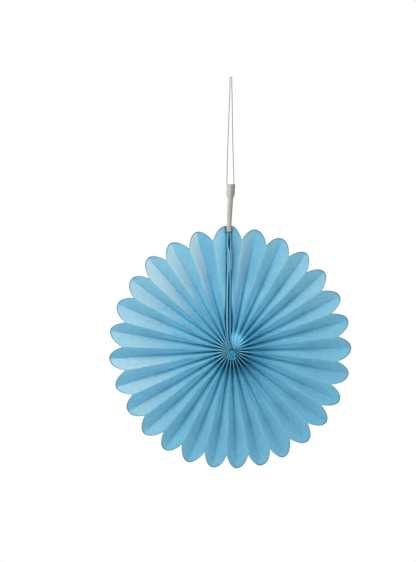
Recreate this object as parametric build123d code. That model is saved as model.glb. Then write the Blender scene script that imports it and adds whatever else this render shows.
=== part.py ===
from build123d import *
import math
import os

# Pleated tissue fan opened to a full disc, on a folded tab and a thread loop.
# Millimetres, +Z up, the front of the fan faces -Y.
# The origin is where the thread loop bears on the pin or hook that it hangs from.

# Pleated sheet
TIP_RADIUS = 125.0  # circle through the petal tips
PETAL_CUT = 14.0  # depth of the notches, inwards from that circle
PETAL_BULGE = 3.0  # rise of each half petal's cut edge over its chord
PLEAT_WIDTH = 16.0  # from fold to fold across one panel
RIM_DEPTH = 7.7  # front to back of the open pleats at the tip circle
SHEET = 0.2  # stiffened two-ply tissue
CREASE_FLAT = 0.08  # half width of the flat inside each fold
HUB_SPARE = 0.04  # room beside each layer where the folds crowd at the hub
SHOULDER = 3.0  # the folds run straight from this far inside the notches
STRAIGHT_WITHIN = 1e-6  # a fold with less bow than this is a straight line

# How the pleats spread round the hub, clockwise from the top as seen from the front
FIRST_NOTCH_ANGLE = 4.6
LAST_NOTCH_ANGLE = 350.2
TOP_SPREAD_ANGLE = 1.5  # petals are wider apart at the top than at the bottom
RIM_LEFT = 2.3  # the tip circle's centre lies this far left of the hub
RIM_UP = 2.5  # and this far above it

# Seam at the top, where the two stiff ends of the strip meet
SEAM_LEAN = 1.2  # degrees to the left
CARD_THICKNESS = 1.2
CARD_GAP = 1.0  # between the two cards
CARD_SETBACK = 0.4  # from the hub ring to the cards' inner ends
PAD_LENGTH = 20.0  # adhesive pad between the cards
PAD_WIDTH = 10.0
PAD_BELOW_TAB = 4.0

# Hub core
CORE_CLEARANCE = 0.15
CORE_FRONT_RISE = 1.2  # its rounded front end stands proud of the folds

# Folded tab
TAB_BLADE_LENGTH = 17.0  # flat end, glued between the cards
TAB_BLADE_WIDTH = 7.0
TAB_FORWARD = 3.0  # from the middle of the cards' width, towards the front
TAB_THROAT = 3.0  # where the blade gathers into the stem
TAB_STEM_LENGTH = 27.5
TAB_STEM_LOW_WIDTH = 4.9
TAB_STEM_TOP_WIDTH = 5.6
TAB_STEM_DEPTH = 3.2
TAB_TAPER = 4.4
TAB_HEAD_LENGTH = 10.8
TAB_HEAD_WIDTH = 8.5
TAB_HEAD_DEPTH = 4.2
TAB_TILT = 3.9  # degrees from the seam line, towards the right
TAB_BLADE_ROUND = 0.2
TAB_STEM_ROUND = 1.0
TAB_HEAD_ROUND = 1.6

# Thread loop
STRING_DIAMETER = 0.9
STRING_CLEARANCE = 0.05
LOOP_DROP = 109.2  # from the hanging point down to the tab's top
HUB_RIGHT = 0.6  # the hub hangs this far right of the hanging point
LEFT_STRAND_DEPTH = 11.5  # length of the groove in the head's left edge
RIGHT_STRAND_DEPTH = 9.0  # depth of the hole in the head's top
RIGHT_STRAND_INSET = 1.2  # from the head's right edge
MOUTH_RISE = 5.0  # each strand stays in line with the tab this far above it
LOOP_TOP_WIDTH = 2.0  # between the two corners of the fold over the hook
ARC_SHARE = 0.45  # of the shorter run, taken up by each corner's arc
LEFT_STRAND = [(-3.2, -75.0), (-2.2, -42.0), (-1.2, -19.8), (-0.85, -8.5), (-0.9, -2.6)]
RIGHT_STRAND = [(0.9, -2.6), (0.95, -8.5), (1.25, -19.8), (1.55, -42.0), (2.15, -75.0)]

# Worked out from the sizes above
NOTCH_RADIUS = TIP_RADIUS - PETAL_CUT
SHOULDER_RADIUS = NOTCH_RADIUS - SHOULDER
RIM_PITCH = math.sqrt(PLEAT_WIDTH**2 - RIM_DEPTH**2)
FLAT_RADIUS = TIP_RADIUS * PLEAT_WIDTH / RIM_PITCH  # where the pleats would lie flat
NOTCHES = round(math.pi * TIP_RADIUS / RIM_PITCH)
PANELS = 2 * NOTCHES  # between the seam's two back folds
CARD_FACE = CARD_GAP / 2 + CARD_THICKNESS  # from the seam line to a card's outer face
SEAM_FOLD = CARD_FACE + SHEET + CREASE_FLAT  # from the seam line to the first back fold
HUB_PITCH = SHEET + 2 * CREASE_FLAT + HUB_SPARE
HUB_RADIUS = (PANELS * HUB_PITCH + 2 * SEAM_FOLD) / (2 * math.pi)
RIM_CENTRE = Vector(-RIM_LEFT, 0, RIM_UP)


def direction(angle):
    """Unit vector in the front view, clockwise from the top"""
    return Vector(math.sin(math.radians(angle)), 0, math.cos(math.radians(angle)))


SEAM_ALONG = direction(-SEAM_LEAN)
SEAM_ACROSS = direction(90 - SEAM_LEAN)


def reach(start, along, radius):
    """Distance from start, along a unit vector, to a circle about the rim's centre"""
    offset = start - RIM_CENTRE
    run = offset.dot(along)
    return -run + math.sqrt(run**2 - offset.length**2 + radius**2)


def bow(radius):
    """Half the depth of the pleats at this distance from the hub"""
    return PLEAT_WIDTH / 2 * math.sqrt(1 - (radius / FLAT_RADIUS) ** 2)


def crest_offset(radius):
    """Half width outside a fold that keeps the sloping panels one sheet thick"""
    pitch = radius * math.pi / NOTCHES
    return CREASE_FLAT + SHEET * (PLEAT_WIDTH - pitch) / (2 * bow(radius))


class Curve:
    """One long edge of a panel: bowed from start to shoulder, then straight to end"""

    def __init__(self, start, middle, shoulder, end):
        self.start = start
        self.shoulder = shoulder
        self.end = end
        chord = shoulder - start
        sag = (middle - start).cross(chord).length / chord.length
        if sag > STRAIGHT_WITHIN:
            self.bowed = Edge.make_three_point_arc(start, middle, shoulder)
        else:
            self.bowed = Edge.make_line(start, shoulder)
        self.straight = Edge.make_line(shoulder, end)


def curve_along(start, along, end_radius, across, offsets, depth_at):
    """Curve beside a line in the front view; offsets are at its inner and outer end"""
    span = reach(start, along, end_radius)
    shoulder = reach(start, along, SHOULDER_RADIUS)
    points = []
    for distance in (0, shoulder / 2, shoulder, span):
        on_line = start + along * distance
        offset = offsets[0] + (offsets[1] - offsets[0]) * distance / span
        points.append(on_line + across * offset + Vector(0, depth_at(on_line.length), 0))
    return Curve(*points)


def fold_curves(number, back_surface):
    """The two edges of a fold's flat, on the sheet's front or back surface"""
    is_valley = number % 2 == 0
    at_seam = number in (0, PANELS)
    end_radius = TIP_RADIUS if is_valley else NOTCH_RADIUS
    shift = SHEET / 2 if back_surface else -SHEET / 2
    first_angle = math.degrees(math.asin(SEAM_FOLD / HUB_RADIUS))
    ring_angle = first_angle + (360 - 2 * first_angle) * number / PANELS - SEAM_LEAN
    start = direction(ring_angle) * HUB_RADIUS
    side = 1 if is_valley else -1
    along = SEAM_ALONG
    if not at_seam:
        step = (LAST_NOTCH_ANGLE - FIRST_NOTCH_ANGLE) / (PANELS - 2)
        angle = FIRST_NOTCH_ANGLE + step * (number - 1)
        angle += TOP_SPREAD_ANGLE * math.sin(math.radians(angle))
        end = direction(angle) * reach(Vector(0, 0, 0), direction(angle), end_radius)
        along = (end - start).normalized()

    def depth_at(radius):
        return side * (PLEAT_WIDTH / 2 if at_seam else bow(radius)) + shift

    across = along.rotate(Axis.Y, 90)
    outside = is_valley == back_surface
    inner = CREASE_FLAT + SHEET if outside else CREASE_FLAT
    outer = crest_offset(end_radius) if outside else CREASE_FLAT
    before = (-inner, -inner if number == 0 else -outer)
    after = (inner, inner if number == PANELS else outer)
    return [
        curve_along(start, along, end_radius, across, before, depth_at),
        curve_along(start, along, end_radius, across, after, depth_at),
    ]


def flap_curve(side, back_surface):
    """The front edge of an end flap, which lies on its card's outer face"""
    first_angle = math.asin(SEAM_FOLD / HUB_RADIUS)
    height = HUB_RADIUS * math.cos(first_angle)
    offset = CARD_FACE if back_surface else CARD_FACE + SHEET
    start = SEAM_ALONG * height + SEAM_ACROSS * side * offset

    def depth_at(radius):
        return -PLEAT_WIDTH / 2

    return curve_along(start, SEAM_ALONG, NOTCH_RADIUS, SEAM_ACROSS, (0, 0), depth_at)


def surface_curves(back_surface):
    """Every long edge of one surface, clockwise from the seam's right flap"""
    curves = [flap_curve(1, back_surface)]
    for number in range(PANELS + 1):
        curves += fold_curves(number, back_surface)
    curves.append(flap_curve(-1, back_surface))
    return curves


def cut_edge(first, second, is_panel):
    """Outer edge between two curves: a petal's rounded cut, or the end of a fold's flat"""
    if not is_panel:
        return Edge.make_line(first.end, second.end)
    chord = second.end - first.end
    outward = (first.end - first.shoulder).normalized() + (second.end - second.shoulder).normalized()
    outward -= chord * (outward.dot(chord) / chord.dot(chord))
    middle = (first.end + second.end) * 0.5 + outward.normalized() * PETAL_BULGE
    return Edge.make_three_point_arc(first.end, middle, second.end)


def pleated_fan():
    """The whole folded sheet, as one closed skin of ruled faces"""
    ruled = Face.make_surface_from_curves
    front = surface_curves(back_surface=False)
    back = surface_curves(back_surface=True)
    faces = []
    for number in range(len(front) - 1):
        is_panel = number % 2 == 0
        cuts = []
        inner_ends = []
        for curves in (front, back):
            first, second = curves[number], curves[number + 1]
            cut = cut_edge(first, second, is_panel)
            faces.append(ruled(first.bowed, second.bowed))
            if is_panel:
                faces.append(ruled(Edge.make_line(first.shoulder, second.shoulder), cut))
            else:
                faces.append(ruled(first.straight, second.straight))
            cuts.append(cut)
            inner_ends.append(Edge.make_line(first.start, second.start))
        faces.append(ruled(*cuts))
        faces.append(ruled(*inner_ends))
    for number in (0, -1):
        faces.append(ruled(front[number].bowed, back[number].bowed))
        faces.append(ruled(front[number].straight, back[number].straight))
    return Solid(Shell(faces))


def in_seam(shape):
    """Lean a shape built upright on the seam line, u to +X and height to +Z"""
    return shape.rotate(Axis.Y, -SEAM_LEAN)


def seam_reach(radius):
    """Height above the hub at which a card's outer face meets a circle of the rim"""
    return reach(SEAM_ACROSS * CARD_FACE, SEAM_ALONG, radius)


SEAM_TOP = seam_reach(TIP_RADIUS)
BLADE_TOP = SEAM_TOP - TAB_THROAT
BLADE_FOOT = BLADE_TOP - TAB_BLADE_LENGTH
STEM_TOP = SEAM_TOP + TAB_STEM_LENGTH
HEAD_FOOT = STEM_TOP + TAB_TAPER
TAB_TOP = HEAD_FOOT + TAB_HEAD_LENGTH
HUB_DROP = LOOP_DROP + TAB_TOP * math.cos(math.radians(SEAM_LEAN))
HUB = Vector(HUB_RIGHT, TAB_FORWARD, -HUB_DROP)


def end_card(side):
    """Stiff card behind an end flap, cut to the same petal edge"""
    foot = HUB_RADIUS + CARD_SETBACK
    front_corner = Vector(-PLEAT_WIDTH / 2, seam_reach(NOTCH_RADIUS))
    back_corner = Vector(PLEAT_WIDTH / 2, SEAM_TOP)
    chord = back_corner - front_corner
    outward = Vector(-chord.Y, chord.X).normalized()
    middle = (front_corner + back_corner) * 0.5 + outward * PETAL_BULGE
    with BuildPart() as card:
        with BuildSketch(Plane.YZ.offset(CARD_GAP / 2)):
            with BuildLine():
                Line((PLEAT_WIDTH / 2, foot), (-PLEAT_WIDTH / 2, foot))
                Line((-PLEAT_WIDTH / 2, foot), front_corner)
                ThreePointArc(front_corner, middle, back_corner)
                Line(back_corner, (PLEAT_WIDTH / 2, foot))
            make_face()
        extrude(amount=CARD_THICKNESS)
    shape = card.part
    if side < 0:
        shape = shape.mirror(Plane.YZ)
    return in_seam(shape)


def seam_pad():
    """Adhesive pad that holds the two cards together, below the tab's blade"""
    top = BLADE_FOOT - PAD_BELOW_TAB
    pad = Pos(0, 0, top - PAD_LENGTH / 2) * Box(CARD_GAP, PAD_WIDTH, PAD_LENGTH)
    return in_seam(pad)


def hub_core():
    """Round core that the inner ends of the folds are stuck to, with a rounded front"""
    radius = HUB_RADIUS - CORE_CLEARANCE
    half = PLEAT_WIDTH / 2
    with BuildPart() as core:
        with BuildSketch(Plane.XY):
            with BuildLine():
                Line((0, half), (radius, half))
                Line((radius, half), (radius, -half))
                EllipticalCenterArc((0, -half), radius, CORE_FRONT_RISE, start_angle=270, arc_size=90)
                Line((0, -half - CORE_FRONT_RISE), (0, half))
            make_face()
        revolve(axis=Axis.Y)
    return core.part


def tab_lean(height):
    """How far right of the seam line the tab's middle is at this height"""
    return (height - BLADE_TOP) * math.tan(math.radians(TAB_TILT))


def tab_section(height, width, depth, corner):
    """One rounded cross-section of the tab"""
    plane = Plane((tab_lean(max(height, BLADE_TOP)), -TAB_FORWARD, height))
    return plane * RectangleRounded(width, depth, corner)


def strand_places():
    """Each strand's place beside the tab's middle, with the height of its lower end"""
    left = tab_lean(TAB_TOP) - TAB_HEAD_WIDTH / 2
    right = tab_lean(TAB_TOP) + TAB_HEAD_WIDTH / 2 - RIGHT_STRAND_INSET
    return (left, TAB_TOP - LEFT_STRAND_DEPTH), (right, TAB_TOP - RIGHT_STRAND_DEPTH)


def hanging_tab():
    """Tape folded to a stem, with a thicker head round the thread's two ends"""
    sections = [
        tab_section(BLADE_FOOT, CARD_GAP, TAB_BLADE_WIDTH, TAB_BLADE_ROUND),
        tab_section(BLADE_TOP, CARD_GAP, TAB_BLADE_WIDTH, TAB_BLADE_ROUND),
        tab_section(SEAM_TOP, TAB_STEM_LOW_WIDTH, TAB_STEM_DEPTH, TAB_STEM_ROUND),
        tab_section(STEM_TOP, TAB_STEM_TOP_WIDTH, TAB_STEM_DEPTH, TAB_STEM_ROUND),
        tab_section(HEAD_FOOT, TAB_HEAD_WIDTH, TAB_HEAD_DEPTH, TAB_HEAD_ROUND),
        tab_section(TAB_TOP, TAB_HEAD_WIDTH, TAB_HEAD_DEPTH, TAB_HEAD_ROUND),
    ]
    tab = loft(sections, ruled=True)
    for place, foot in strand_places():
        length = 2 * (TAB_TOP - foot)
        hole = Cylinder(STRING_DIAMETER / 2 + STRING_CLEARANCE, length)
        tab -= Pos(place, -TAB_FORWARD, foot + length / 2) * hole
    return in_seam(tab)


def strand_point(place, height):
    """Point of the tab's own middle plane in the part's frame"""
    return HUB + SEAM_ACROSS * place + SEAM_ALONG * height - Vector(0, TAB_FORWARD, 0)


def loop_route():
    """Corners of the thread's route, from its left end over the hook to its right end"""
    (left, left_foot), (right, right_foot) = strand_places()
    top = STRING_DIAMETER / 2
    half = LOOP_TOP_WIDTH / 2
    route = [strand_point(left, left_foot), strand_point(left, TAB_TOP + MOUTH_RISE)]
    route += [Vector(x, 0, z) for x, z in LEFT_STRAND]
    route += [Vector(-half, 0, top), Vector(half, 0, top)]
    route += [Vector(x, 0, z) for x, z in RIGHT_STRAND]
    route += [strand_point(right, TAB_TOP + MOUTH_RISE), strand_point(right, right_foot)]
    return route


def corner_radii(route):
    """The largest arc that each corner's two runs allow"""
    radii = []
    for before, corner, after in zip(route, route[1:], route[2:]):
        turn = (corner - before).get_angle(after - corner)
        shorter = min((corner - before).length, (after - corner).length)
        radii.append(ARC_SHARE * shorter / math.tan(math.radians(turn / 2)))
    return radii


def hanging_string():
    """Thread loop as one tube of straight runs and tangent arcs"""
    route = loop_route()
    radii = corner_radii(route)
    print("thread corner radii:", [round(radius, 2) for radius in radii])
    with BuildPart() as tube:
        with BuildLine() as path:
            FilletPolyline(*route, radius=radii)
        with BuildSketch(Plane(route[0], z_dir=route[1] - route[0])):
            Circle(STRING_DIAMETER / 2)
        sweep()
    length = sum(edge.length for edge in path.edges())
    section = math.pi * STRING_DIAMETER**2 / 4
    print("thread length:", round(length, 2))
    print("thread volume over section times length:", round(tube.part.volume / (section * length), 4))
    return tube.part


def on_hub(shape):
    """Move a shape built about the hub to where it hangs"""
    return Location(HUB) * shape


parts = {
    "pleated_fan": on_hub(pleated_fan()),
    "end_card_left": on_hub(end_card(-1)),
    "end_card_right": on_hub(end_card(1)),
    "seam_pad": on_hub(seam_pad()),
    "hub_core": on_hub(hub_core()),
    "hanging_tab": on_hub(hanging_tab()),
    "hanging_string": hanging_string(),
}

os.makedirs("parts", exist_ok=True)
for node, shape in parts.items():
    export_step(shape, f"parts/{node}.step")
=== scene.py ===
import math

import bmesh
import bpy
from bpy.props import FloatProperty, FloatVectorProperty, IntProperty, PointerProperty
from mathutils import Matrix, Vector, noise


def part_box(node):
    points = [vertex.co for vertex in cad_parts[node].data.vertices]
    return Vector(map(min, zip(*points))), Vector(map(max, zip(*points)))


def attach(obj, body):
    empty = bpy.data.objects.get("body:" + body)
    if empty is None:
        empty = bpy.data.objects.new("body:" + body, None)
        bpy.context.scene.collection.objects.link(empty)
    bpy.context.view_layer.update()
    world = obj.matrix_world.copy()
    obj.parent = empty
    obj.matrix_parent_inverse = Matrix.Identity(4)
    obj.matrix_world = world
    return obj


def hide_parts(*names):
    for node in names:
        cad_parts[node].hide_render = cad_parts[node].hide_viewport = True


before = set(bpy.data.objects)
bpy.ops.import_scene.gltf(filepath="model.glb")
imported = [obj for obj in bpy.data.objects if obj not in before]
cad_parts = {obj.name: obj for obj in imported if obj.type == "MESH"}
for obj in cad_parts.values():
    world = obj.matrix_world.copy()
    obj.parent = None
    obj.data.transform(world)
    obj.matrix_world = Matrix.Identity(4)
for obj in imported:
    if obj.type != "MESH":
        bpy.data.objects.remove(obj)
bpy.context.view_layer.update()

bl_info = {
    "name": "Paper Fan Rosette",
    "version": (1, 0, 0),
    "blender": (4, 5, 0),
    "location": "3D View > Sidebar > Rosette",
    "description": "A hanging fan of pleated tissue paper, with its tab, thread loop and stage",
    "category": "Add Mesh",
}

# The hub's middle, from the solid core: the fan's middle plane is half a pleat in front of its back
CORE_LOW, CORE_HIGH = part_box("hub_core")
HALF_PLEAT = 0.008
HUB = Vector(((CORE_LOW.x + CORE_HIGH.x) / 2, CORE_HIGH.y - HALF_PLEAT, (CORE_LOW.z + CORE_HIGH.z) / 2))

# Seam line, which leans to the left from the hub
SEAM_LEAN = math.radians(1.2)
SEAM_ALONG = Vector((-math.sin(SEAM_LEAN), 0, math.cos(SEAM_LEAN)))
SEAM_ACROSS = Vector((math.cos(SEAM_LEAN), 0, math.sin(SEAM_LEAN)))
SEAM_TOP = 0.12749  # height of the cards' back corners above the hub
SEAM_NOTCH = 0.1196  # and of their front corners

# Just above the hub the seam bends to the left of its line, and comes back to it towards the rim
SEAM_BEND = -0.0022
BEND_RISE = (0.001, 0.016)
BEND_FALL = (0.016, 0.125)

GAP_HALF = 0.0005  # half width of the gap between the cards
PAD_CLOSES = -0.00032  # and its change at the pad, which draws the cards together
# All of its changes, by height above the hub: rise from, rise to, fall from, fall to, and size. It
# opens between hub and pad and round the tab's blade, and closes at the pad and the hub
GAP_CHANGES = (
    (0.008, 0.03, 0.06, 0.082, 0.00025),
    (0.103, 0.108, 0.112, 0.121, 0.00036),
    (0.074, 0.084, 0.1, 0.106, PAD_CLOSES),
    (-0.002, -0.001, 0.002, 0.014, -0.0003),
)
JOG = (0.078, 0.086, 0.1005, 0.106, 0.0012)  # the closed gap steps to the right over the pad

CARD_THICKNESS = 0.0011
CARD_FOOT = -0.0004  # the cards' front edges end at the top of the crumpled core
CARD_BACK_FOOT = 0.0046  # and the rest of them a little higher
LEFT_EXTRA = 0.0007  # the left card and the fold beside it stand this much wider
EDGE_POWER = 2.15  # roundness of the petals' cut edges and of the cards' top edges

# The tab leans to the right of the seam from this height above the hub
TAB_LEAN = math.tan(math.radians(3.9))
TAB_FOOT = 0.12449

# Thread route, from its left end over the hanging point to its right end
THREAD_ROUTE = (
    (-0.00386, 0.0, -0.12072),
    (-0.00420, 0.0, -0.10422),
    (-0.00320, 0.0, -0.07500),
    (-0.00220, 0.0, -0.04200),
    (-0.00120, 0.0, -0.01980),
    (-0.00085, 0.0, -0.00850),
    (-0.00090, 0.0, -0.00260),
    (-0.00100, 0.0, 0.00045),
    (0.00100, 0.0, 0.00045),
    (0.00090, 0.0, -0.00260),
    (0.00095, 0.0, -0.00850),
    (0.00125, 0.0, -0.01980),
    (0.00155, 0.0, -0.04200),
    (0.00215, 0.0, -0.07500),
    (0.00310, 0.0, -0.10407),
    (0.00339, 0.0, -0.11807),
)


def linear(red, green, blue):
    """Linear colour from the 0 to 255 values of a screen colour"""
    return tuple(
        part / 12.92 if part <= 0.04045 else ((part + 0.055) / 1.055) ** 2.4
        for part in (red / 255, green / 255, blue / 255)
    )


def length(name, description, default):
    return FloatProperty(
        name=name, description=description, default=default, precision=5, subtype="DISTANCE", unit="LENGTH"
    )


def tint(name, description, default):
    return FloatVectorProperty(
        name=name, description=description, default=default, size=3, min=0, max=1, subtype="COLOR"
    )


class FanSizes(bpy.types.PropertyGroup):
    panels: IntProperty(name="Panels", description="Panels between the seam's two back folds", default=56)
    cells_across: IntProperty(name="Cells Across", description="Mesh cells across each panel", default=12)
    cells_along: IntProperty(name="Cells Along", description="Mesh cells from the hub to the rim", default=56)
    tip_radius: length("Tip Radius", "Circle through the petal tips", 0.1252)
    notch_radius: length("Notch Radius", "Circle through the notches between the petals", 0.1103)
    flat_radius: length("Flat Radius", "Radius at which the pleats would lie flat", 0.1426)
    pleat_width: length("Pleat Width", "From fold to fold across one panel", 2 * HALF_PLEAT)
    hub_radius: length("Hub Radius", "Ring on which the folds start", 0.0021)
    paper: length("Paper Thickness", "Thickness of the sheet", 0.00012)
    wave_height: length("Wave Height", "Height of the soft waves in each panel", 0.0006)
    fold_wander: length("Fold Wander", "How far a fold strays from its straight line", 0.0009)
    angle_spread: FloatProperty(
        name="Angle Spread",
        description="Uneven spacing of the folds",
        default=math.radians(0.9),
        subtype="ANGLE",
    )
    seed: IntProperty(name="Seed", description="Start of the random values", default=7)


class FanColours(bpy.types.PropertyGroup):
    tissue: tint("Tissue", "Pleated sheet", linear(130, 194, 222))
    # painted sheen: a pale colour laid on the sides of the petals that face the light
    painted_light: tint("Painted Light", "Pale haze on the sides of the petals that face the light", linear(199, 229, 243))
    # painted highlight on the crests of the folds near the hub
    crest_highlight: tint("Crest Highlight", "Crests of the folds near the hub", linear(142, 220, 250))
    lit_fold: tint("Lit Fold", "Valleys that light shines through", linear(150, 226, 254))
    # painted shade: dark lines along the valley creases, and darker valleys near the hub
    valley_shade: tint("Valley Shade", "Crease lines in the valleys", linear(2, 130, 180))
    cut_edge: tint("Cut Edge", "Cut edges of the sheet", linear(80, 134, 158))
    card: tint("Card", "End cards", linear(104, 180, 212))
    # painted shade: the cards' faces in the gap are a darker copy of the card's blue
    card_gap_shade: tint("Card Gap Shade", "Faces of the end cards in the gap", linear(0, 100, 142))
    # the tissue's blue, painted darker as shade in the hub's recess
    core: tint("Shaded Core", "Crumpled hub", linear(74, 156, 194))
    # painted shade: the pad has the dark blue of the shaded gap it sits in
    pad: tint("Pad", "Adhesive pad in the seam", linear(60, 110, 135))
    tape: tint("Tape", "Folded tab", linear(204, 201, 195))
    tape_shade: tint("Tape Shade", "Grey right side of the tab", linear(132, 128, 120))
    tape_stain: tint("Tape Stain", "Warm stain at the tab's two ends", linear(184, 172, 168))
    # painted shade: the tab's lower end in the gap has the gap's dark blue
    tape_gap_shade: tint("Tape Gap Shade", "Lower end of the tab in the gap", linear(20, 90, 124))
    thread: tint("Thread", "Thread loop", linear(138, 136, 135))


class ThreadSizes(bpy.types.PropertyGroup):
    diameter: length("Diameter", "Across the whole thread", 0.0009)
    lay: length("Lay", "Length of one full turn of the strands", 0.0024)
    strands: IntProperty(name="Strands", description="Strands in the thread", default=3)


class StageSettings(bpy.types.PropertyGroup):
    camera_distance: length("Camera Distance", "From the camera to the thread's plane", 2.2)
    frame_height: length("Frame Height", "Height that the picture shows at the thread's plane", 0.5749)
    aim_right: length("Aim Right", "Camera's place to the right of the hanging point", -0.0234)
    aim_up: length("Aim Up", "Camera's height above the hanging point", -0.2082)
    floor_height: length("Floor Height", "Floor's height above the hanging point", -0.58)
    floor_radius: length("Floor Radius", "Radius of the floor disc", 0.6)
    ambient: FloatProperty(name="Ambient", description="Strength of the light from all round", default=0.66)
    key_power: FloatProperty(
        name="Key Power", description="Power of the soft lamp at the upper left", default=2.2, unit="POWER"
    )


# Sums in node trees


class Value:
    """A number in a node tree; each sum written with it adds a Math node"""

    def __init__(self, tree, socket):
        self.tree = tree
        self.socket = socket

    def __add__(self, other):
        return calculate("ADD", self, other)

    def __radd__(self, other):
        return calculate("ADD", other, self)

    def __sub__(self, other):
        return calculate("SUBTRACT", self, other)

    def __rsub__(self, other):
        return calculate("SUBTRACT", other, self)

    def __mul__(self, other):
        return calculate("MULTIPLY", self, other)

    def __rmul__(self, other):
        return calculate("MULTIPLY", other, self)

    def __truediv__(self, other):
        return calculate("DIVIDE", self, other)

    def __rtruediv__(self, other):
        return calculate("DIVIDE", other, self)


def feed(tree, socket, value):
    """Give a socket a plain value or another node's output"""
    if isinstance(value, Value):
        tree.links.new(value.socket, socket)
    else:
        socket.default_value = value


def add_node(tree, kind, inputs=None, **settings):
    """New node with its settings and its inputs, by name or number"""
    node = tree.nodes.new(kind)
    for name, value in settings.items():
        setattr(node, name, value)
    for key, value in (inputs or {}).items():
        feed(tree, node.inputs[key], value)
    return node


def output(node, key=0):
    """One output of a node, by name or number"""
    return Value(node.id_data, node.outputs[key])


def calculate(operation, *values):
    """Math node for one operation on node values and plain numbers"""
    tree = next(value.tree for value in values if isinstance(value, Value))
    return output(add_node(tree, "ShaderNodeMath", dict(enumerate(values)), operation=operation))


def smooth(value, low, high):
    """From 0 at low to 1 at high, with soft ends"""
    places = {0: value, 1: low, 2: high, 3: 0.0, 4: 1.0}
    return output(add_node(value.tree, "ShaderNodeMapRange", places, interpolation_type="SMOOTHSTEP"))


def fade(value, low, high):
    """From 1 at low to 0 at high, with soft ends"""
    return 1.0 - smooth(value, low, high)


def between(first, second, share):
    return first + (second - first) * share


def distance(x, z):
    return calculate("SQRT", x * x + z * z)


def chance(number, seed, channel):
    """Fixed random value from 0 to 1 for a whole number"""
    places = {"W": number * 1.37 + seed * 11.3 + channel * 101.7}
    return output(add_node(number.tree, "ShaderNodeTexWhiteNoise", places, noise_dimensions="1D"))


def vector(tree, x, y, z):
    return output(add_node(tree, "ShaderNodeCombineXYZ", {0: x, 1: y, 2: z}))


def ripple(place, scale, detail=1.0, roughness=0.5):
    """Smooth noise from -0.5 to 0.5 at a place"""
    inputs = {"Vector": place, "Scale": scale, "Detail": detail, "Roughness": roughness}
    return output(add_node(place.tree, "ShaderNodeTexNoise", inputs), "Fac") - 0.5


def named_inputs(tree, defaults):
    """Named inputs of a tree, each of the kind that its default is"""
    kinds = {
        int: "NodeSocketInt",
        float: "NodeSocketFloat",
        Vector: "NodeSocketVector",
        tuple: "NodeSocketColor",
        bpy.types.Material: "NodeSocketMaterial",
    }
    for name, default in defaults.items():
        socket = tree.interface.new_socket(name, in_out="INPUT", socket_type=kinds[type(default)])
        socket.default_value = default
    node = tree.nodes.new("NodeGroupInput")
    return {name: output(node, name) for name in defaults}


# Rules of the seam, in numbers and in nodes


def soft_step(value, low, high):
    """From 0 at low to 1 at high, with soft ends"""
    share = min(max((value - low) / (high - low), 0), 1)
    return share * share * (3 - 2 * share)


def soft_fall(value, low, high):
    """From 1 at low to 0 at high, with soft ends"""
    return 1 - soft_step(value, low, high)


def seam_bend(height):
    """How far the seam lies from its straight line at this height above the hub"""
    return SEAM_BEND * soft_step(height, *BEND_RISE) * soft_fall(height, *BEND_FALL)


def swell_at(value, step, change):
    """Rise and fall of one change along the seam; step is soft_step for numbers, smooth for nodes"""
    rise_from, rise_to, fall_from, fall_to, size = change
    return step(value, rise_from, rise_to) * (1 - step(value, fall_from, fall_to)) * size


def seam_opening(height, step=soft_step):
    """Extra half width of the gap between the cards"""
    parts = [swell_at(height, step, change) for change in GAP_CHANGES]
    return sum(parts[1:], parts[0])


def seam_place(across, height, depth):
    """Place beside the seam line, from the hub"""
    return HUB + SEAM_ACROSS * across + SEAM_ALONG * height + Vector((0, depth, 0))


# Pleated sheet, with places from the hub: x to the right, z up. Folds are counted clockwise from the seam

FIRST_NOTCH = math.radians(4.6)  # notches beside the seam, clockwise from 12 o'clock
LAST_NOTCH = math.radians(350.2)
# How far the folds between them stray from even angles: once round the disc, then twice, then 3 times
TOP_SPREAD = math.radians(1.5)
SIDE_SPREAD = math.radians(0.45)
DOUBLE_SPREAD = math.radians(0.53)
TRIPLE_SPREAD = math.radians(0.33)
WANDER_STEPS = (3.1, 2.2)  # noise that a fold's wandering takes from fold to fold, and along a fold

RIM_CENTRE = (-0.0011, 0.0027)  # middle of the circles through the tips and the notches
RING_SHIFT = (-0.0003, 0.0010)  # middle of the ring on which the folds start
SEAM_FOLD = 0.00156  # from the seam line to the back fold on each side of it
SEAM_FLAP = 0.0018  # and to the sheet's free end, in front of that fold
SEAM_PULL = 0.55  # share of the seam's bend that one fold passes on to the next
TIP_SHORT = 0.0016  # a tip falls short of its circle by this much at most
NOTCH_SPREAD = 0.0024  # notches differ in radius by this much at most
EDGE_POWER_SPREAD = 0.5
CREST_HALF = 0.00038  # half width of the rounded crest of a fold
CREST_OF_PITCH = 0.36  # and its largest share of a panel's width in the front view
CREST_SETBACK = 0.0005  # crests lie this much deeper at most

FOLD_BEND = 0.012  # share of a panel that bends at a sharp fold
RIDGE_RELAXED = 0.11  # and how much more bends at the rim, in front and at the back
VALLEY_RELAXED = 0.10
PRESSED_AT = (0.004, 0.0095)  # middle of the patch where the valleys are pressed up to the front
PRESSED_RADII = (0.005, 0.0125)
GATHERED_RADII = (0.003, 0.0105)  # the same round the ring, but less
HUB_BULGE = 0.7  # near the hub the panels stay near the front, then plunge to the valley
SEAM_BULGE = 36.0  # and so do the two beside the seam, all the more towards the rim
PRESSED_REACH = 0.021  # the pressed tissue ends this far from the hub
PRESSED_RAGGED = 0.004  # or up to this much nearer, from panel to panel
WAVES = ((55.0, 1.0, 1.6), (190.0, 1.5, 0.55))  # scale, detail and height of the two kinds of wave

# Ways that the sides with a painted sheen face, as shares to the right and up, on the first halves of the
# petals at the left and at the right, and on their second halves
SHEEN_LEFT = (-0.906, 0.423)
SHEEN_RIGHT = (0.3, 0.954)
SHEEN_TOP = (0.174, 0.985)


def is_past(number, panels, margin):
    """1 for folds that lie this far past the last fold on either side, 0 for the others"""
    return calculate("GREATER_THAN", calculate("ABSOLUTE", number - panels * 0.5), panels * 0.5 + margin)


def seam_share(number, panels):
    """1 for the folds and free edges that run along the seam, 0 for the others"""
    return is_past(number, panels, -0.5)


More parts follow.
